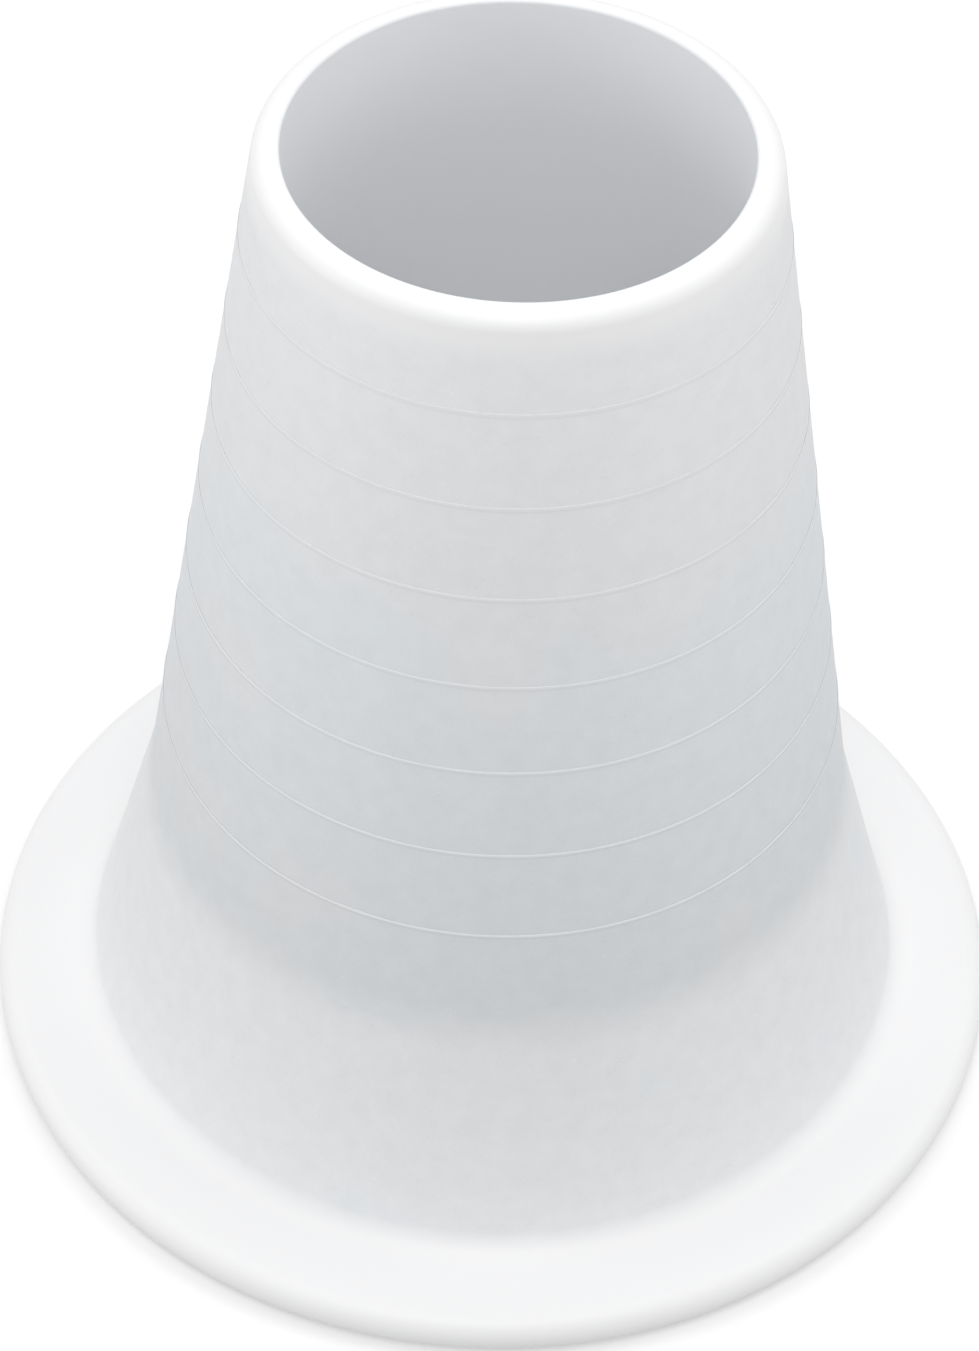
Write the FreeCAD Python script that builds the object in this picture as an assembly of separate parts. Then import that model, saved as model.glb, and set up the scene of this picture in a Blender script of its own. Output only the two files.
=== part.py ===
"""Flanged tapered sleeve: a soft filter-funnel adapter, moulded in white silicone.

The sleeve stands on its flange, mouth up, with its axis on Z and its origin at the centre of
the flange's underside. From the mouth down it is a rounded lip, a straight cone with raised
trim lines at an even pitch, a wider flare and a flat flange with a fully rounded edge. A user
cuts the cone along a trim line to suit the neck that it plugs, so each trimmable band is its
own solid, and meets the next one face to face. All lengths are in millimetres.
"""

import FreeCAD, Part

import math
import os

# Mouth and lip
BORE_RADIUS = 10.9          # straight land inside the mouth, which grips a funnel's stem
LIP_WALL = 1.25             # wall at the mouth, before its edges are rounded
LIP_OUTER_ROUND = 0.95
LIP_INNER_ROUND = 0.2

# Cone and its trim lines
CONE_HALF_ANGLE = 8.45      # degrees
TRIM_LINE_COUNT = 7
TRIM_PITCH = 5.0            # down from the mouth to the first line, and from line to line
BASE_BAND_LENGTH = 6.0      # cone left below the last trim line
TRIM_LINE_WIDTH = 0.24      # at its root
TRIM_LINE_CREST = 0.1
TRIM_LINE_HEIGHT = 0.08

# Flare and flange
WALL = 1.6                  # wall of the flare, and of the cone where the two meet
FLARE_HEIGHT = 13.2         # above the flange's top face
FLARE_HALF_ANGLE = 15.2     # degrees
FLARE_BLEND_RADIUS = 25.0   # where the cone turns into the flare
FLARE_FOOT_FILLET = 1.5
FLANGE_WIDTH = 5.1          # from the flare's foot to the flange's edge
FLANGE_THICKNESS = 2.2
BOTTOM_EDGE_ROUND = 0.3     # at the rim of the opening underneath

# Worked out from the sizes above
CONE_TAPER = math.tan(math.radians(CONE_HALF_ANGLE))
FLARE_TAPER = math.tan(math.radians(FLARE_HALF_ANGLE))
CONE_LENGTH = TRIM_LINE_COUNT * TRIM_PITCH + BASE_BAND_LENGTH
FLARE_TOP_Z = FLANGE_THICKNESS + FLARE_HEIGHT
MOUTH_Z = FLARE_TOP_Z + CONE_LENGTH
MOUTH_OUTER_RADIUS = BORE_RADIUS + LIP_WALL
CONE_FOOT_RADIUS = MOUTH_OUTER_RADIUS + CONE_LENGTH * CONE_TAPER
FLARE_FOOT_RADIUS = CONE_FOOT_RADIUS + FLARE_HEIGHT * FLARE_TAPER
FLANGE_RADIUS = FLARE_FOOT_RADIUS + FLANGE_WIDTH
FLANGE_EDGE_ROUND = FLANGE_THICKNESS / 2
LAND_END_Z = MOUTH_Z - TRIM_PITCH

AXIS_POINT = FreeCAD.Vector(0, 0, 0)
AXIS = FreeCAD.Vector(0, 0, 1)


def point(radius, z):
    """A point of the half section, which is drawn in the XZ plane."""
    return FreeCAD.Vector(radius, 0, z)


def outer_radius(z):
    """Radius of the cone's side at a height, before the lip is rounded."""
    return MOUTH_OUTER_RADIUS + (MOUTH_Z - z) * CONE_TAPER


def trim_line_z(number):
    """Height of a trim line, where line 1 is the one nearest the mouth."""
    return MOUTH_Z - number * TRIM_PITCH


def rounded_outline(corners):
    """A closed wire through (radius, z, round) corners, each with its own tangent arc."""
    count = len(corners)
    starts, ends, arcs = [], [], []
    for i, (radius, z, fillet) in enumerate(corners):
        here = point(radius, z)
        before = point(*corners[i - 1][:2]) - here
        after = point(*corners[(i + 1) % count][:2]) - here
        if fillet == 0:
            starts.append(here)
            ends.append(here)
            arcs.append(None)
            continue
        half = before.getAngle(after) / 2
        before.normalize()
        after.normalize()
        reach = fillet / math.tan(half)
        bisector = before + after
        bisector.normalize()
        middle = here + bisector * (fillet / math.sin(half) - fillet)
        starts.append(here + before * reach)
        ends.append(here + after * reach)
        arcs.append(Part.Arc(starts[-1], middle, ends[-1]).toShape())
    edges = []
    for i in range(count):
        if arcs[i] is not None:
            edges.append(arcs[i])
        gap_end = starts[(i + 1) % count]
        if ends[i].distanceToPoint(gap_end) > 1e-6:
            edges.append(Part.LineSegment(ends[i], gap_end).toShape())
    return Part.Wire(edges)


def turned(wire):
    """The solid made by turning a closed half section about the sleeve's axis."""
    return Part.Face(wire).revolve(AXIS_POINT, AXIS, 360)


def whole_sleeve():
    """The sleeve in one piece, with its true inner and outer surfaces and no trim lines."""
    wall_across_flare = WALL / math.cos(math.radians(FLARE_HALF_ANGLE))
    wall_across_cone = WALL / math.cos(math.radians(CONE_HALF_ANGLE))
    opening_radius = FLARE_FOOT_RADIUS + FLANGE_THICKNESS * FLARE_TAPER - wall_across_flare
    corners = [
        (MOUTH_OUTER_RADIUS, MOUTH_Z, LIP_OUTER_ROUND),
        (CONE_FOOT_RADIUS, FLARE_TOP_Z, FLARE_BLEND_RADIUS),
        (FLARE_FOOT_RADIUS, FLANGE_THICKNESS, FLARE_FOOT_FILLET),
        (FLANGE_RADIUS, FLANGE_THICKNESS, FLANGE_EDGE_ROUND),
        (FLANGE_RADIUS, 0, FLANGE_EDGE_ROUND),
        (opening_radius, 0, BOTTOM_EDGE_ROUND),
        (CONE_FOOT_RADIUS - wall_across_cone, FLARE_TOP_Z, FLARE_BLEND_RADIUS),
        (BORE_RADIUS, LAND_END_Z, 0),
        (BORE_RADIUS, MOUTH_Z, LIP_INNER_ROUND),
    ]
    return turned(rounded_outline(corners))


def slab(low, high, radius):
    """A plain disc-shaped cutter between two heights."""
    return Part.makeCylinder(radius, high - low, point(0, low), AXIS)


def cut_into_bands(sleeve):
    """Cuts the sleeve into its named bands, from the mouth down to the flange."""
    reach = 2 * FLANGE_RADIUS
    cuts = [MOUTH_Z] + [trim_line_z(n + 1) for n in range(TRIM_LINE_COUNT)] + [FLARE_TOP_Z]
    names = ["mouth_lip"] + [f"trim_band_{n}" for n in range(1, TRIM_LINE_COUNT)] + ["base_band"]
    bands = {}
    for name, high, low in zip(names, cuts[:-1], cuts[1:]):
        bands[name] = sleeve.common(slab(low, high, reach))
    foot_fillet_reach = FLARE_FOOT_FILLET * math.tan(math.radians(90 - FLARE_HALF_ANGLE) / 2)
    ring_inner_radius = FLARE_FOOT_RADIUS + foot_fillet_reach
    skirt_cutter = slab(0, FLARE_TOP_Z, ring_inner_radius)
    below_cone = sleeve.common(slab(0, FLARE_TOP_Z, reach))
    bands["flare_skirt"] = below_cone.common(skirt_cutter)
    bands["flange_ring"] = below_cone.cut(skirt_cutter)
    return bands


def trim_line(number):
    """One raised line: a low ridge with sloping flanks, which stands on the cone's side."""
    z = trim_line_z(number)
    angle = math.radians(CONE_HALF_ANGLE)
    down_the_side = point(math.sin(angle), -math.cos(angle))
    outward = point(math.cos(angle), math.sin(angle))
    root_middle = point(outer_radius(z), z)
    crest_middle = root_middle + outward * TRIM_LINE_HEIGHT
    half_root = down_the_side * (TRIM_LINE_WIDTH / 2)
    half_crest = down_the_side * (TRIM_LINE_CREST / 2)
    corners = [root_middle - half_root, crest_middle - half_crest,
               crest_middle + half_crest, root_middle + half_root]
    return turned(Part.makePolygon(corners + corners[:1]))

def main():
    os.makedirs("parts", exist_ok=True)
    pieces = cut_into_bands(whole_sleeve())
    for number in range(1, TRIM_LINE_COUNT + 1):
        pieces[f"trim_line_{number}"] = trim_line(number)
    for name, shape in pieces.items():
        shape.exportStep(f"parts/{name}.step")
        box = shape.BoundBox
        print(f"{name}: volume {shape.Volume:.2f}, solids {len(shape.Solids)}, valid {shape.isValid()},"
              f" radius {box.XMax:.2f}, z {box.ZMin:.2f} to {box.ZMax:.2f}")


main()
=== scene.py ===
"""The looks of a tapered funnel sleeve in white silicone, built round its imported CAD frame.

The sleeve's wall is a solid of revolution, so one half section gives every piece of it: the
section is cut at the trim lines, as a user would cut the sleeve, and each slice is turned about
the axis. The raised trim lines are made on top of it, and the finish is frosted on the cone and
flare and smooth on the lip, the bore and the flange. All lengths are in metres.
"""

import math

import bpy
from mathutils import Matrix, Vector


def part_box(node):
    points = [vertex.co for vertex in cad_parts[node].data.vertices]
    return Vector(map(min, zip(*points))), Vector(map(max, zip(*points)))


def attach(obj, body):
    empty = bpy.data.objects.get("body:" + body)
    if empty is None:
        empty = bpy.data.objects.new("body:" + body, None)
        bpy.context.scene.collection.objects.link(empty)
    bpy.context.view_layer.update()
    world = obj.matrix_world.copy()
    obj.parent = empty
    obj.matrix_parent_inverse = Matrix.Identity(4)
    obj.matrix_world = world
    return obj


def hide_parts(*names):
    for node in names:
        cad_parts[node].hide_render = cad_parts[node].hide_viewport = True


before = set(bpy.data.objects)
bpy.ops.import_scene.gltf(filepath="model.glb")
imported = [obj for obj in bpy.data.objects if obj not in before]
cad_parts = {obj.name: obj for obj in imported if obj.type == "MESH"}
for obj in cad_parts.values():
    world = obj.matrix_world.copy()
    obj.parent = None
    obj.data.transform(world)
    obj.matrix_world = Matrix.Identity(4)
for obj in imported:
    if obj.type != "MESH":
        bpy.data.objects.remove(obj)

bl_info = {
    "name": "Tapered Funnel Sleeve",
    "version": (1, 0, 0),
    "blender": (4, 5, 0),
    "location": "View3D > Sidebar > Sleeve",
    "description": "Builds a silicone funnel sleeve, its finish and its studio round the CAD frame",
    "category": "Object",
}

MM = 0.001
SAME_PLACE = 0.001 * MM         # points nearer than this are one point
FEWEST_ARC_STEPS = 10
TURNED_SHARP_ANGLE = 40         # degrees between faces past which a turned edge is shaded sharp
RIDGE_SHARP_ANGLE = 80
RIDGE_POINTS = 14               # points round a raised line's oval
SWELL_SCALE = 450.0             # how closely a raised line's height varies along it
COLOUR_A, COLOUR_B, MIXED_COLOUR = 6, 7, 2      # a Mix node's colour sockets
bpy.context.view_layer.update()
BODY = "root"
FROSTED, SMOOTH = "frosted_silicone", "smooth_silicone"
CONE_BANDS = [f"trim_band_{n}" for n in range(1, 7)] + ["base_band"]
TRIM_LINES = [f"trim_line_{n}" for n in range(1, 8)]
# Soft round lights, as (diameter, power in watts, place). They all face the middle of the cone.
LIGHTS = {
    "overhead front": (0.30, 0.308, (0, -0.22, 0.42)),
    "front key": (0.40, 0.214, (0, -0.45, 0.60)),
    "lip light": (0.06, 0.0162, (0, -0.085, 0.175)),
    "overhead back": (0.30, 0.287, (0, 0.22, 0.42)),
    "left high": (0.30, 0.253, (-0.30, 0.05, 0.40)),
    "right high": (0.30, 0.361, (0.30, 0.05, 0.40)),
    "left low": (0.30, 0.379, (-0.50, -0.10, 0.10)),
    "right low": (0.30, 0.188, (0.50, -0.10, 0.10)),
}
LIT_POINT = Vector((0, 0, 0.03))
AMBIENT_STRENGTH = 0.62         # the room's even light, which also stands for the floor's bounce

# The silicone's pattern. Scales are per metre, so a larger one is a finer pattern.
CLOUD_SCALE, PATCH_SCALE, GRAIN_SCALE = 120.0, 900.0, 7500.0
BRIGHT_SPOT_SCALE, DARK_SPOT_SCALE = 1300.0, 1700.0
FROST_STARTS = (0.05 * MM, 1.3 * MM)        # above the flange
FROST_STOPS = (2.6 * MM, 1.0 * MM)          # below the mouth
FLARE_BLUR = 1.9 * MM                       # the flare's tone turns into the cone's over twice this
COOL_STOPS = (34 * MM, 44 * MM)             # heights over which the cone's cooler stretch ends
WARM_SHARE, COOL_SHARE = 0.17, 0.27         # how far the clouds lean to warm, and to cool down there
INSIDE_STARTS = 3 * MM                      # above the flange, where the inside has its full colour
SPECK_PATCHES = (0.46, 0.56)                # bright specks lie in patches above this, dark ones below
BRIGHT_SPECK, DARK_SPECK = (0.05, 0.11), (0.05, 0.12)       # a speck's middle and its edge
RIDGE_SHADE_STARTS, RIDGE_SHADE_STOPS = (0.016, 0.024), (0.036, 0.056)    # painted shade under a line: where it starts and stops, as shares of the pitch below the line
LAST_RIDGE_SHADE = (1.2 * MM, 1.0 * MM)            # below the last line, where the painted shade under the lines ends
# How much the painted shade under each trim line darkens, and how much that varies in patches
RIDGE_SHADE_LOSS, RIDGE_SHADE_PATCHINESS = 0.02, 0.07
PATCH_CONTRAST, GRAIN_CONTRAST, SPECK_CONTRAST = 0.09, 0.06, 0.06
GRAIN_ROUGHNESS = 0.2
RELIEF_DEPTH = 0.02 * MM
PAINTED_FLARE_LIGHT_FADE = 5.0                            # painted light that the flare loses for each metre of height


# ---------------------------------------------------------------- sizes read from the frame

def top_of(node):
    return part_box(node)[1].z


def foot_of(node):
    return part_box(node)[0].z


def radii_at(node, z):
    """The smallest and largest radius of a node's corners at a height where it has an edge."""
    corners = [vertex.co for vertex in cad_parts[node].data.vertices]
    radii = [math.hypot(co.x, co.y) for co in corners if abs(co.z - z) < SAME_PLACE]
    return min(radii), max(radii)


def line_through(low, high, z):
    """Radius at a height on the straight line through two (radius, height) points."""
    slope = (high[0] - low[0]) / (high[1] - low[1])
    return low[0] + slope * (z - low[1])


MOUTH_Z = top_of("mouth_lip")
LAND_END_Z = foot_of("mouth_lip")
FLARE_TOP_Z = top_of("flare_skirt")
FLANGE_TOP_Z = top_of("flange_ring")
LAST_CUT_Z = top_of("base_band")
BORE_RADIUS, LAND_OUTER_RADIUS = radii_at("mouth_lip", LAND_END_Z)
LAST_CUT_INNER, LAST_CUT_OUTER = radii_at("base_band", LAST_CUT_Z)
RING_INNER_RADIUS = radii_at("flange_ring", FLANGE_TOP_Z)[0]
FLANGE_RADIUS = max(abs(value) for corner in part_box("flange_ring") for value in corner.xy)
LINE_PITCH = (LAND_END_Z - LAST_CUT_Z) / (len(TRIM_LINES) - 1)
CONE_TAPER = (LAST_CUT_OUTER - LAND_OUTER_RADIUS) / (LAND_END_Z - LAST_CUT_Z)


# ---------------------------------------------------------------- what a user can change

def length(label, description, default, **limits):
    return bpy.props.FloatProperty(name=label, description=description, default=default,
                                   subtype="DISTANCE", unit="LENGTH", precision=5, **limits)


def angle(label, description, degrees, **limits):
    return bpy.props.FloatProperty(name=label, description=description, default=math.radians(degrees),
                                   subtype="ANGLE", unit="ROTATION", **limits)


def colour(label, description, default):
    return bpy.props.FloatVectorProperty(name=label, description=description, default=default,
                                         subtype="COLOR", size=3, min=0, max=1)


def factor(label, description, default, **limits):
    return bpy.props.FloatProperty(name=label, description=description, default=default,
                                   subtype="FACTOR", **limits)


class SleeveShape(bpy.types.PropertyGroup):
    """Sizes of the sleeve that the frame's corners don't give."""
    lip_outer_round: length("Lip outer round", "Rounding of the mouth's outer edge", 0.95 * MM, min=0)
    lip_inner_round: length("Lip inner round", "Rounding of the mouth's inner edge", 0.2 * MM, min=0)
    land_blend: length("Land blend", "Radius where the bore's land turns into the wider inside",
                       34 * MM, min=0)
    blend_radius: length("Flare blend", "Radius where the cone turns into the flare", 25 * MM, min=0)
    flare_angle: angle("Flare half angle", "Lean of the flare's side from upright", 15.2)
    foot_fillet: length("Foot fillet", "Fillet between the flare and the flange", 1.5 * MM, min=0)
    wall: length("Flare wall", "Thickness of the flare's wall", 1.6 * MM, min=0)
    bottom_round: length("Bottom round", "Rounding of the opening's edge underneath", 0.3 * MM, min=0)
    turns: bpy.props.IntProperty(name="Steps round", description="Faces round the sleeve",
                                 default=288, min=12)
    arc_step: angle("Arc step", "Largest turn from one point of a rounded edge to the next", 5)
    line_width: length("Trim line width", "Width of a raised line at its root", 0.22 * MM, min=0)
    line_height: length("Trim line height", "How far a raised line stands proud", 0.02 * MM, min=0)
    line_unevenness: factor("Trim line unevenness", "How much a line's height varies round it",
                            0.6, min=0, max=1)


class SleeveFinish(bpy.types.PropertyGroup):
    """Colours and surface of the silicone, with the light and shade painted into its colour."""
    body: colour("Silicone", "Colour of the smooth silicone", (0.865, 0.866, 0.872))
    inner: colour("Inside", "Colour of the bore and the hollow below it", (0.858, 0.868, 0.884))
    # The two cloud tints are darker than the smooth silicone: painted shade on the steep cone and flare,
    # over the clouds' own random tint
    shaded_cool: colour("Cool cloud", "Tint of the cooler clouds in the frosted surface", (0.735, 0.768, 0.794))
    shaded_warm: colour("Warm cloud", "Tint of the warmer clouds in the frosted surface", (0.760, 0.768, 0.784))
    roughness: factor("Roughness", "Roughness of the smooth surface", 0.42, min=0, max=1)
    frost_roughness: factor("Frost roughness", "Roughness that the frosting adds", 0.2, min=0, max=1)
    # Painted light and shade on the cone: its colour is darkened at its foot and lightened up to its mouth,
    # for light that comes through the thin wall and less through the thick one
    painted_shade_at_foot: factor("Thick wall", "Brightness that the cone loses where its wall is thickest", 0.09,
                       min=0, max=1)
    painted_glow_to_mouth: factor("Thin wall", "Brightness that the cone gains from its foot to its mouth", 0.17,
                      min=0, max=1)
    # Painted light: the flare's colour is lightened at its foot and fades higher up
    flare_foot_painted_light: factor("Flare", "Brightness that the flare gains at its foot", 0.075, min=0, max=1)


class SleeveStudio(bpy.types.PropertyGroup):
    """Camera, floor and lights."""
    elevation: angle("Camera elevation", "How far above the horizon the camera stands", 45.59)
    roll: angle("Camera roll", "Turn of the camera about its own line of sight", 1.72)
    distance: length("Camera distance", "From the camera to the point it looks at", 215.8 * MM, min=0)
    aim_height: length("Aim height", "Height of the point that the camera looks at", 21.8 * MM)
    aim_side: length("Aim side", "How far that point lies to the right of the axis", -0.6 * MM)
    lens: bpy.props.FloatProperty(name="Lens", description="Focal length", default=111.8,
                                  subtype="DISTANCE_CAMERA", unit="CAMERA", min=1)
    floor_radius: length("Floor radius", "Radius of the round floor", 3.0, min=0)


# ---------------------------------------------------------------- node trees

class Link:
    """One socket's value in a node tree. Arithmetic on it adds Math nodes."""

    def __init__(self, nodes, socket):
        self.nodes = nodes
        self.socket = socket

    def other(self, name):
        """Another output of the same node."""
        return Link(self.nodes, self.socket.node.outputs[name])

    def math(self, operation, *values):
        """A Math node on these values, or on this one alone."""
        values = values or (self,)
        return self.nodes.add("ShaderNodeMath", {"operation": operation}, dict(enumerate(values)))

    def __add__(self, value):
        return self.math("ADD", self, value)

    def __sub__(self, value):
        return self.math("SUBTRACT", self, value)

    def __rsub__(self, value):
        return self.math("SUBTRACT", value, self)

    def __mul__(self, value):
        return self.math("MULTIPLY", self, value)

    def __truediv__(self, value):
        return self.math("DIVIDE", self, value)

    __radd__ = __add__
    __rmul__ = __mul__

    def smooth_step(self, low, high):
        """0 below low and 1 above high, with a soft change between them."""
        return self.nodes.add("ShaderNodeMapRange", {"interpolation_type": "SMOOTHSTEP"},
                              {"Value": self, "From Min": low, "From Max": high})


class Nodes:
    """Adds nodes to a tree, left to right."""

    def __init__(self, tree):
        self.tree = tree
        self.tree.nodes.clear()

    def add(self, kind, settings=None, sockets=None, output=0):
        """A new node with its settings, then its sockets' values or links. Returns one output."""
        node = self.tree.nodes.new(kind)
        node.location = (200 * len(self.tree.nodes), 0)
        for name, value in (settings or {}).items():
            setattr(node, name, value)
        for name, value in (sockets or {}).items():
            if isinstance(value, Link):
                self.tree.links.new(value.socket, node.inputs[name])
            else:
                node.inputs[name].default_value = value
        return Link(self, node.outputs[output]) if node.outputs else None


def geometry_tree(name, inputs):
    """A new geometry tree with a geometry output and these inputs, as {name: (type, default)}."""
    tree = bpy.data.node_groups.new(name, "GeometryNodeTree")
    tree.interface.new_socket(name="Geometry", in_out="OUTPUT", socket_type="NodeSocketGeometry")
    for label, (kind, default) in inputs.items():
        socket = tree.interface.new_socket(name=label, in_out="INPUT", socket_type=kind)
        if default is not None:
            socket.default_value = default
    nodes = Nodes(tree)
    return nodes, nodes.add("NodeGroupInput")


def finish_tree(nodes, geometry, material, sharp_angle):
    """Shades the mesh smooth between its sharp edges, realizes it and gives it its material."""
    smooth = nodes.add("GeometryNodeSetShadeSmooth", {"domain": "FACE"}, {"Geometry": geometry})
    bend = nodes.add("GeometryNodeInputMeshEdgeAngle")
    is_sharp = nodes.add("FunctionNodeCompare", {"operation": "GREATER_THAN"},
                         {"A": bend, "B": sharp_angle})
    edged = nodes.add("GeometryNodeSetShadeSmooth", {"domain": "EDGE"},
                      {"Geometry": smooth, "Selection": is_sharp, "Shade Smooth": False})
    real = nodes.add("GeometryNodeRealizeInstances", None, {"Geometry": edged})
    painted = nodes.add("GeometryNodeSetMaterial", None, {"Geometry": real, "Material": material})
    nodes.add("NodeGroupOutput", None, {"Geometry": painted})
    return nodes.tree


def lathe_tree():
    """Turns a section, given as a closed loop of edges, about the Z axis.

    The section's X runs outwards from the bore's wall and its Y runs down from the floor.
    """
    nodes, given = geometry_tree("Turned section", {
        "Section": ("NodeSocketGeometry", None),
        "Bore radius": ("NodeSocketFloat", BORE_RADIUS),
        "Steps round": ("NodeSocketInt", 288),
        "Sharp angle": ("NodeSocketFloat", math.radians(TURNED_SHARP_ANGLE)),
        "Material": ("NodeSocketMaterial", None),
    })
    path = nodes.add("GeometryNodeCurvePrimitiveCircle", {"mode": "RADIUS"},
                     {"Resolution": given.other("Steps round"), "Radius": given.other("Bore radius")})
    section = nodes.add("GeometryNodeMeshToCurve", None, {"Mesh": given.other("Section")})
    turned = nodes.add("GeometryNodeCurveToMesh", None, {"Curve": path, "Profile Curve": section})
    return finish_tree(nodes, turned, given.other("Material"), given.other("Sharp angle"))


def trim_line_tree():
    """A raised line round the cone: a flat oval swept round it, half sunk, and uneven in height."""
    nodes, given = geometry_tree("Raised trim line", {
        "Radius": ("NodeSocketFloat", 0.01),
        "Height on axis": ("NodeSocketFloat", 0.0),
        "Half width": ("NodeSocketFloat", 0.0001),
        "Rise": ("NodeSocketFloat", 0.0001),
        "Lean": ("NodeSocketFloat", 0.0),
        "Unevenness": ("NodeSocketFloat", 0.0),
        "Steps round": ("NodeSocketInt", 288),
        "Seed": ("NodeSocketFloat", 0.0),
        "Material": ("NodeSocketMaterial", None),
    })
    ring = nodes.add("GeometryNodeCurvePrimitiveCircle", {"mode": "RADIUS"},
                     {"Resolution": given.other("Steps round"), "Radius": given.other("Radius")})
    oval = nodes.add("GeometryNodeCurvePrimitiveCircle", {"mode": "RADIUS"},
                     {"Resolution": RIDGE_POINTS, "Radius": 1.0})
    size = nodes.add("ShaderNodeCombineXYZ", None,
                     {"X": given.other("Rise"), "Y": given.other("Half width"), "Z": 1.0})
    tilt = nodes.add("ShaderNodeCombineXYZ", None, {"Z": given.other("Lean")})
    oval = nodes.add("GeometryNodeTransform", None,
                     {"Geometry": oval, "Rotation": tilt, "Scale": size})
    swell = nodes.add("ShaderNodeTexNoise", {"noise_dimensions": "4D"},
                      {"W": given.other("Seed"), "Scale": SWELL_SCALE, "Detail": 3.0})
    swell = 1.0 + (swell - 0.5) * given.other("Unevenness") * 2.0
    line = nodes.add("GeometryNodeCurveToMesh", None,
                     {"Curve": ring, "Profile Curve": oval, "Scale": swell})
    lift = nodes.add("ShaderNodeCombineXYZ", None, {"Z": given.other("Height on axis")})
    line = nodes.add("GeometryNodeTransform", None, {"Geometry": line, "Translation": lift})
    return finish_tree(nodes, line, given.other("Material"), math.radians(RIDGE_SHARP_ANGLE))


def grown(piece, tree, **values):
    """Runs a geometry tree on a piece and leaves the result as its plain mesh."""
    modifier = piece.modifiers.new(tree.name, "NODES")
    modifier.node_group = tree
    for item in tree.interface.items_tree:
        name = item.name.lower().replace(" ", "_")
        if item.in_out == "INPUT" and name in values:
            modifier[item.identifier] = values[name]
    piece.update_tag()
    graph = bpy.context.evaluated_depsgraph_get()
    mesh = bpy.data.meshes.new_from_object(piece.evaluated_get(graph), preserve_all_data_layers=True,
                                           depsgraph=graph)
    piece.modifiers.clear()
    piece.data = mesh
    mesh.name = piece.name


# ---------------------------------------------------------------- the sleeve's half section

def rounded(corners, arc_step):
    """Points round a closed outline of (radius, height, round, outside) corners.

    Each corner turns into a tangent arc. The points are (radius, height, outside).
    """
    points = []
    for i, (x, y, fillet, outside) in enumerate(corners):
        if not fillet:
            points.append((x, y, outside))
            continue
        before, after = corners[i - 1], corners[(i + 1) % len(corners)]
        to_before = math.atan2(before[1] - y, before[0] - x)
        to_after = math.atan2(after[1] - y, after[0] - x)
        opening = (to_after - to_before + math.pi) % (2 * math.pi) - math.pi
        middle = to_before + opening / 2
        reach = fillet / math.sin(abs(opening) / 2)
        centre_x, centre_y = x + reach * math.cos(middle), y + reach * math.sin(middle)
        sweep = math.pi - abs(opening)
        steps = max(FEWEST_ARC_STEPS, math.ceil(sweep / arc_step))
        facing = middle + math.pi
        way_round = -1 if opening > 0 else 1
        for step in range(steps + 1):
            turn = facing + way_round * sweep * (step / steps - 0.5)
            points.append((centre_x + fillet * math.cos(turn), centre_y + fillet * math.sin(turn), outside))
    return points


def clipped(points, axis, limit, keep_above):
    """The part of a closed outline on one side of a straight cut across radius (0) or height (1).

    Points that all but touch the cut are moved onto it, and doubled points are dropped.
    """
    points = [tuple(limit if i == axis and abs(value - limit) < SAME_PLACE else value
                    for i, value in enumerate(point)) for point in points]
    kept = []
    for i, point in enumerate(points):
        following = points[(i + 1) % len(points)]
        inside = (point[axis] >= limit) == keep_above
        inside_next = (following[axis] >= limit) == keep_above
        if inside:
            kept.append(point)
        if inside != inside_next:
            share = (limit - point[axis]) / (following[axis] - point[axis])
            kept.append(tuple(a + share * (b - a) for a, b in zip(point, following)))
    return [point for i, point in enumerate(kept) if math.dist(point[:2], kept[i - 1][:2]) > SAME_PLACE]


def sleeve_section(shape):
    """The whole sleeve's half section, as (radius, height, outside) points round its outline."""
    flare_taper = math.tan(shape.flare_angle)
    mouth_outer = LAND_OUTER_RADIUS - (MOUTH_Z - LAND_END_Z) * CONE_TAPER
    cone_foot = line_through((LAST_CUT_OUTER, LAST_CUT_Z), (LAND_OUTER_RADIUS, LAND_END_Z), FLARE_TOP_Z)
    cone_foot_inner = line_through((LAST_CUT_INNER, LAST_CUT_Z), (BORE_RADIUS, LAND_END_Z), FLARE_TOP_Z)
    flare_foot = cone_foot + (FLARE_TOP_Z - FLANGE_TOP_Z) * flare_taper
    opening = cone_foot + FLARE_TOP_Z * flare_taper - shape.wall / math.cos(shape.flare_angle)
    edge_round = FLANGE_TOP_Z / 2
    return rounded([
        (mouth_outer, MOUTH_Z, shape.lip_outer_round, 1),
        (cone_foot, FLARE_TOP_Z, shape.blend_radius, 1),
        (flare_foot, FLANGE_TOP_Z, shape.foot_fillet, 1),
        (FLANGE_RADIUS, FLANGE_TOP_Z, edge_round, 0),
        (FLANGE_RADIUS, 0, edge_round, 0),
        (opening, 0, shape.bottom_round, 0),
        (cone_foot_inner, FLARE_TOP_Z, shape.blend_radius, 0),
        (BORE_RADIUS, LAND_END_Z, shape.land_blend, 0),
        (BORE_RADIUS, MOUTH_Z, shape.lip_inner_round, 0),
    ], shape.arc_step)


def turned_piece(name, section, material, shape):
    """A new object, turned from a section, that stands for the CAD node of its name."""
    count = len(section)
    mesh = bpy.data.meshes.new(name)
    mesh.from_pydata([(radius - BORE_RADIUS, -z, 0) for radius, z, _ in section],
                     [(i, (i + 1) % count) for i in range(count)], [])
    outside = mesh.attributes.new("outside", "FLOAT", "POINT")
    outside.data.foreach_set("value", [value for _, _, value in section])
    piece = bpy.data.objects.new(name + "_skin", mesh)
    bpy.context.scene.collection.objects.link(piece)
    grown(piece, bpy.data.node_groups["Turned section"], material=material,
          steps_round=shape.turns, bore_radius=BORE_RADIUS)
    return piece


def stand_for(piece, node):
    """Ties a piece to the body and hides the CAD node that it stands for."""
    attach(piece, BODY)
    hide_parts(node)


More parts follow.
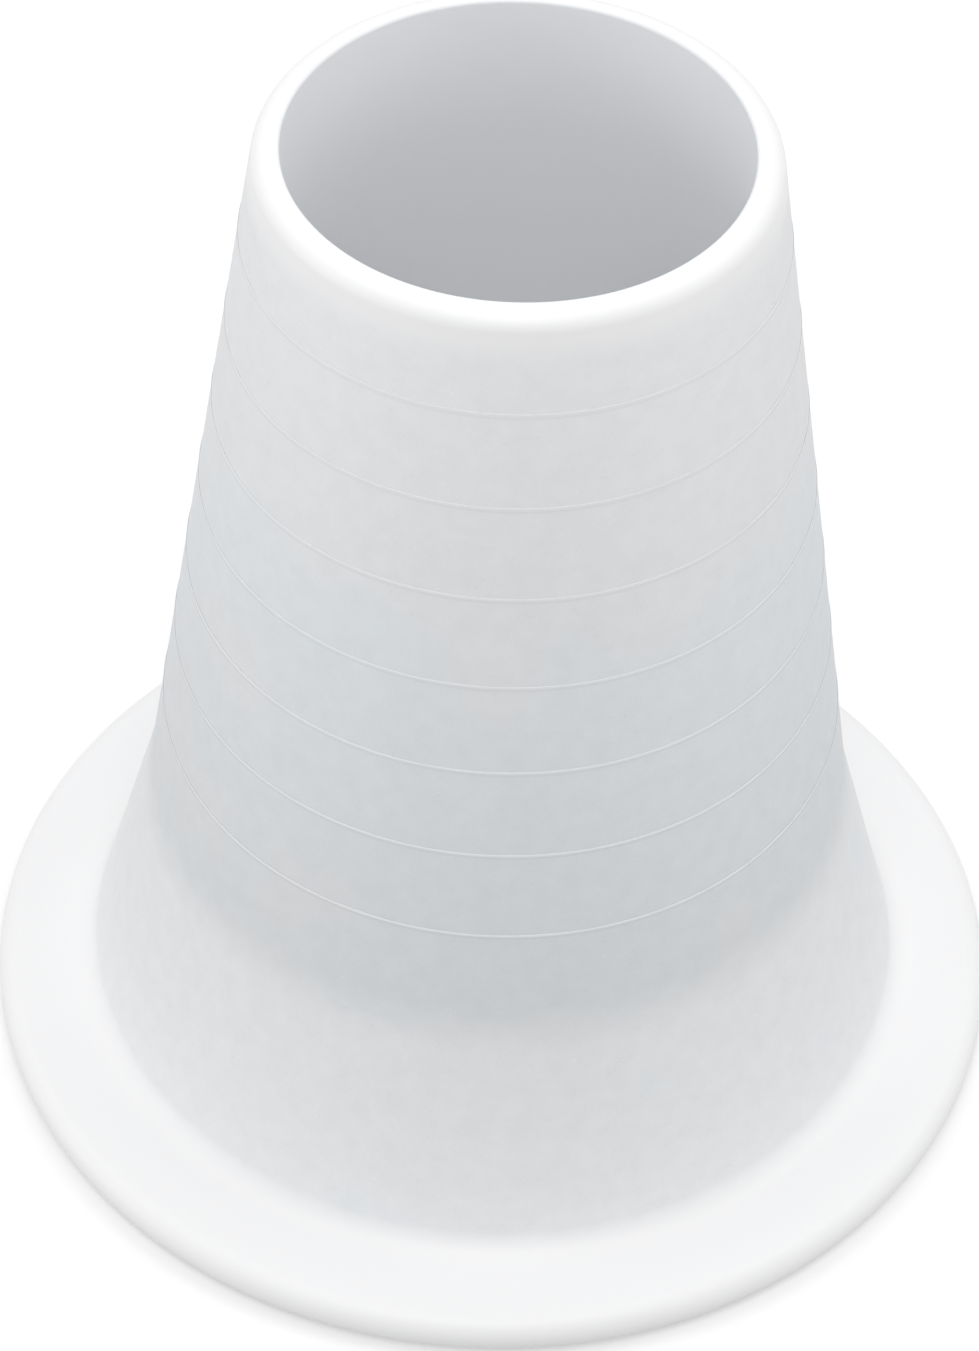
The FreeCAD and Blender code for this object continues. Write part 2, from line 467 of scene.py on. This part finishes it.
def slice_of(section, node):
    """The part of the section between a band's two cuts."""
    return clipped(clipped(section, 1, foot_of(node), True), 1, top_of(node), False)


# ---------------------------------------------------------------- finishes

def new_material(name):
    material = bpy.data.materials.new(name)
    material.use_nodes = True
    return material, Nodes(material.node_tree)


def silicone(name, finish):
    """White silicone, frosted outside from the flange's fillet to the lip and smooth elsewhere."""
    material, nodes = new_material(name)
    place = nodes.add("ShaderNodeTexCoord", output="Object")
    height = nodes.add("ShaderNodeSeparateXYZ", None, {"Vector": place}, "Z")
    outside = nodes.add("ShaderNodeAttribute", {"attribute_name": "outside"}, None, "Fac")
    above_foot = height.smooth_step(*(FLANGE_TOP_Z + rise for rise in FROST_STARTS))
    below_lip = 1.0 - height.smooth_step(*(MOUTH_Z - drop for drop in FROST_STOPS))
    frost = outside * above_foot * below_lip

    # Broad clouds, smaller patches and fine grain, and specks of two kinds in different patches.
    clouds = nodes.add("ShaderNodeTexNoise", None, {"Vector": place, "Scale": CLOUD_SCALE, "Detail": 2.0})
    patch = nodes.add("ShaderNodeTexNoise", None, {"Vector": place, "Scale": PATCH_SCALE, "Detail": 3.0})
    grain = nodes.add("ShaderNodeTexNoise", None, {"Vector": place, "Scale": GRAIN_SCALE, "Detail": 2.0})
    bright_spots = nodes.add("ShaderNodeTexVoronoi", None,
                             {"Vector": place, "Scale": BRIGHT_SPOT_SCALE}, "Distance")
    dark_spots = nodes.add("ShaderNodeTexVoronoi", None,
                           {"Vector": place, "Scale": DARK_SPOT_SCALE}, "Distance")
    some_places = patch.smooth_step(*SPECK_PATCHES)
    bright = (1.0 - bright_spots.smooth_step(*BRIGHT_SPECK)) * some_places
    dark = (1.0 - dark_spots.smooth_step(*DARK_SPECK)) * (1.0 - some_places)

    # The colour: clouds of two tints in the frosting, darker than the smooth silicone as painted shade on
    # the steep walls, and plain ones for the inside and the flange.
    on_cone = height.smooth_step(FLARE_TOP_Z - FLARE_BLUR, FLARE_TOP_Z + FLARE_BLUR)
    cool_zone = on_cone * (1.0 - height.smooth_step(*COOL_STOPS))
    cloud = (clouds + WARM_SHARE - cool_zone * COOL_SHARE).smooth_step(0.34, 0.66)
    frosted = nodes.add("ShaderNodeMix", {"data_type": "RGBA"}, {
        "Factor": cloud, COLOUR_A: (*finish.shaded_cool, 1), COLOUR_B: (*finish.shaded_warm, 1)},
        MIXED_COLOUR)
    inside = (1.0 - outside) * height.smooth_step(FLANGE_TOP_Z, FLANGE_TOP_Z + INSIDE_STARTS)
    plain = nodes.add("ShaderNodeMix", {"data_type": "RGBA"},
                      {"Factor": inside, COLOUR_A: (*finish.body, 1), COLOUR_B: (*finish.inner, 1)},
                      MIXED_COLOUR)
    mixed = nodes.add("ShaderNodeMix", {"data_type": "RGBA"},
                      {"Factor": frost, COLOUR_A: plain, COLOUR_B: frosted}, MIXED_COLOUR)

    # Its brightness: painted shade under each trim line, painted light for light that comes through where
    # the wall is thin, painted shade at the cone's foot and painted light at the flare's foot.
    below_line = ((LAND_END_Z - height) / LINE_PITCH).math("FRACT")
    ridge_shade = below_line.smooth_step(*RIDGE_SHADE_STARTS) * (1.0 - below_line.smooth_step(*RIDGE_SHADE_STOPS))
    ridge_shade = ridge_shade * height.smooth_step(*(LAST_CUT_Z - drop for drop in LAST_RIDGE_SHADE))
    # Painted light and shade: the cone's colour lightens from its foot to its mouth
    share_up_cone = (height - FLARE_TOP_Z) / (MOUTH_Z - FLARE_TOP_Z)
    painted_cone_light_and_shade = on_cone * (share_up_cone * finish.painted_glow_to_mouth - finish.painted_shade_at_foot)
    painted_light_on_flare = (1.0 - on_cone) * (finish.flare_foot_painted_light - (height - FLANGE_TOP_Z) * PAINTED_FLARE_LIGHT_FADE)
    level = 1.0 + frost * (painted_cone_light_and_shade + painted_light_on_flare - ridge_shade * (RIDGE_SHADE_LOSS + patch * RIDGE_SHADE_PATCHINESS)
                           + (patch - 0.5) * PATCH_CONTRAST + (grain - 0.5) * GRAIN_CONTRAST
                           + bright * SPECK_CONTRAST - dark * SPECK_CONTRAST)
    shaded = nodes.add("ShaderNodeVectorMath", {"operation": "SCALE"}, {0: mixed, "Scale": level})

    rough = finish.roughness + frost * (finish.frost_roughness + (grain - 0.5) * GRAIN_ROUGHNESS)
    relief = frost * (grain + patch * 0.6 + bright - dark)
    bump = nodes.add("ShaderNodeBump", None,
                     {"Strength": 0.25, "Distance": RELIEF_DEPTH, "Height": relief})
    surface = nodes.add("ShaderNodeBsdfPrincipled", None, {
        "Base Color": shaded, "Roughness": rough, "IOR": 1.41, "Normal": bump,
        "Sheen Weight": 0.1, "Sheen Roughness": 0.5})
    nodes.add("ShaderNodeOutputMaterial", None, {"Surface": surface})
    return material


def floor_finish():
    """Matt white backdrop paper."""
    material, nodes = new_material("Backdrop paper")
    place = nodes.add("ShaderNodeTexCoord", output="Object")
    fibre = nodes.add("ShaderNodeTexNoise", None, {"Vector": place, "Scale": 900.0, "Detail": 3.0})
    bump = nodes.add("ShaderNodeBump", None, {"Strength": 0.02, "Distance": 0.02 * MM, "Height": fibre})
    surface = nodes.add("ShaderNodeBsdfPrincipled", None, {
        "Base Color": (0.98, 0.98, 0.98, 1), "Roughness": 0.9, "Specular IOR Level": 0.1, "Normal": bump})
    nodes.add("ShaderNodeOutputMaterial", None, {"Surface": surface})
    return material


def finish_of(slot):
    """The material for one of the record's slots, made the first time that it is asked for."""
    name = slot.replace("_", " ").capitalize()
    return bpy.data.materials.get(name) or silicone(name, bpy.context.scene.sleeve_finish)


# ---------------------------------------------------------------- the pieces

class SLEEVE_OT_add_lip(bpy.types.Operator):
    """Adds the mouth's rounded lip, down to the first trim line"""
    bl_idname = "sleeve.add_lip"
    bl_label = "Add Lip"

    def execute(self, context):
        shape = context.scene.sleeve_shape
        section = slice_of(sleeve_section(shape), "mouth_lip")
        piece = turned_piece("mouth_lip", section, finish_of(SMOOTH), shape)
        stand_for(piece, "mouth_lip")
        return {"FINISHED"}


class SLEEVE_OT_add_bands(bpy.types.Operator):
    """Adds the bands of the cone, from the first trim line to the flare"""
    bl_idname = "sleeve.add_bands"
    bl_label = "Add Cone Bands"

    def execute(self, context):
        shape = context.scene.sleeve_shape
        for node in CONE_BANDS:
            section = slice_of(sleeve_section(shape), node)
            piece = turned_piece(node, section, finish_of(FROSTED), shape)
            stand_for(piece, node)
        return {"FINISHED"}


class SLEEVE_OT_add_flare(bpy.types.Operator):
    """Adds the flare, with its foot fillet and the part of the flange beneath it"""
    bl_idname = "sleeve.add_flare"
    bl_label = "Add Flare"

    def execute(self, context):
        shape = context.scene.sleeve_shape
        section = clipped(slice_of(sleeve_section(shape), "flare_skirt"), 0, RING_INNER_RADIUS, False)
        piece = turned_piece("flare_skirt", section, finish_of(FROSTED), shape)
        stand_for(piece, "flare_skirt")
        return {"FINISHED"}


class SLEEVE_OT_add_flange(bpy.types.Operator):
    """Adds the flat flange with its rounded edge"""
    bl_idname = "sleeve.add_flange"
    bl_label = "Add Flange"

    def execute(self, context):
        shape = context.scene.sleeve_shape
        section = clipped(slice_of(sleeve_section(shape), "flange_ring"), 0, RING_INNER_RADIUS, True)
        piece = turned_piece("flange_ring", section, finish_of(SMOOTH), shape)
        stand_for(piece, "flange_ring")
        return {"FINISHED"}


class SLEEVE_OT_add_trim_lines(bpy.types.Operator):
    """Adds the raised lines along which the cone is cut to fit

    They carry no "outside" value, so they keep the lighter colour of the smooth inside.
    """
    bl_idname = "sleeve.add_trim_lines"
    bl_label = "Add Trim Lines"

    def execute(self, context):
        shape = context.scene.sleeve_shape
        tree = trim_line_tree()
        for number, node in enumerate(TRIM_LINES, 1):
            z = (foot_of(node) + top_of(node)) / 2
            piece = bpy.data.objects.new(node + "_ridge", bpy.data.meshes.new(node))
            context.scene.collection.objects.link(piece)
            grown(piece, tree, radius=LAND_OUTER_RADIUS + (LAND_END_Z - z) * CONE_TAPER,
                  height_on_axis=z, half_width=shape.line_width / 2, rise=shape.line_height,
                  lean=math.atan(CONE_TAPER), unevenness=shape.line_unevenness,
                  steps_round=shape.turns * 2, seed=float(number), material=finish_of(FROSTED))
            stand_for(piece, node)
        return {"FINISHED"}


# ---------------------------------------------------------------- the studio

def place_light(name, size, power, spot):
    """A round soft light that faces the middle of the cone."""
    data = bpy.data.lights.new(name, "AREA")
    data.shape = "DISK"
    data.size = size
    data.energy = power
    light = bpy.data.objects.new(name, data)
    bpy.context.scene.collection.objects.link(light)
    light.location = spot
    light.rotation_mode = "QUATERNION"
    light.rotation_quaternion = (LIT_POINT - Vector(spot)).to_track_quat("-Z", "Y")


class SLEEVE_OT_add_studio(bpy.types.Operator):
    """Adds the floor, the soft lights and the camera"""
    bl_idname = "sleeve.add_studio"
    bl_label = "Add Studio"

    def execute(self, context):
        studio = context.scene.sleeve_studio
        scene = context.scene
        scene.view_settings.view_transform = "Standard"

        bpy.ops.mesh.primitive_circle_add(vertices=96, radius=studio.floor_radius, fill_type="NGON")
        floor = context.object
        floor.name = "floor"
        floor.data.materials.append(floor_finish())
        # It neither lights the sleeve nor keeps off the room's light, which comes from below too.
        floor.visible_diffuse = False
        floor.visible_shadow = False

        scene.world = bpy.data.worlds.new("Studio")
        scene.world.use_nodes = True
        glow = scene.world.node_tree.nodes["Background"]
        glow.inputs["Color"].default_value = (1, 1, 1, 1)
        glow.inputs["Strength"].default_value = AMBIENT_STRENGTH

        for name, (size, power, spot) in LIGHTS.items():
            place_light(name, size, power, spot)

        camera = bpy.data.objects.new("camera", bpy.data.cameras.new("camera"))
        scene.collection.objects.link(camera)
        scene.camera = camera
        camera.data.lens = studio.lens
        camera.data.clip_start = 10 * MM
        camera.data.clip_end = 100.0
        aim = Vector((studio.aim_side, 0, studio.aim_height))
        back = Vector((0, -math.cos(studio.elevation), math.sin(studio.elevation)))
        right = Vector((1, 0, 0))
        up = back.cross(right)
        facing = Matrix((right, up, back)).transposed()
        camera.matrix_world = (Matrix.Translation(aim + back * studio.distance)
                               @ facing.to_4x4() @ Matrix.Rotation(studio.roll, 4, "Z"))
        return {"FINISHED"}


class SLEEVE_PT_sidebar(bpy.types.Panel):
    """Lists the sleeve's sizes, finish and studio, and the operators that build them"""
    bl_idname = "SLEEVE_PT_sidebar"
    bl_label = "Funnel Sleeve"
    bl_space_type = "VIEW_3D"
    bl_region_type = "UI"
    bl_category = "Sleeve"

    def draw(self, context):
        for group in (context.scene.sleeve_shape, context.scene.sleeve_finish, context.scene.sleeve_studio):
            column = self.layout.column(align=True)
            for name in group.__annotations__:
                column.prop(group, name)
        for operator in OPERATORS:
            self.layout.operator(operator.bl_idname)


OPERATORS = (SLEEVE_OT_add_lip, SLEEVE_OT_add_bands, SLEEVE_OT_add_flare, SLEEVE_OT_add_flange,
             SLEEVE_OT_add_trim_lines, SLEEVE_OT_add_studio)
GROUPS = {"sleeve_shape": SleeveShape, "sleeve_finish": SleeveFinish, "sleeve_studio": SleeveStudio}


def register():
    for group in GROUPS.values():
        bpy.utils.register_class(group)
    for name, group in GROUPS.items():
        setattr(bpy.types.Scene, name, bpy.props.PointerProperty(type=group))
    for kind in (*OPERATORS, SLEEVE_PT_sidebar):
        bpy.utils.register_class(kind)


def unregister():
    for kind in (SLEEVE_PT_sidebar, *reversed(OPERATORS)):
        bpy.utils.unregister_class(kind)
    for name, group in GROUPS.items():
        delattr(bpy.types.Scene, name)
        bpy.utils.unregister_class(group)


def main():
    register()
    lathe_tree()
    for kind in OPERATORS:
        group, name = kind.bl_idname.split(".")
        getattr(getattr(bpy.ops, group), name)()


if __name__ == "__main__":
    main()
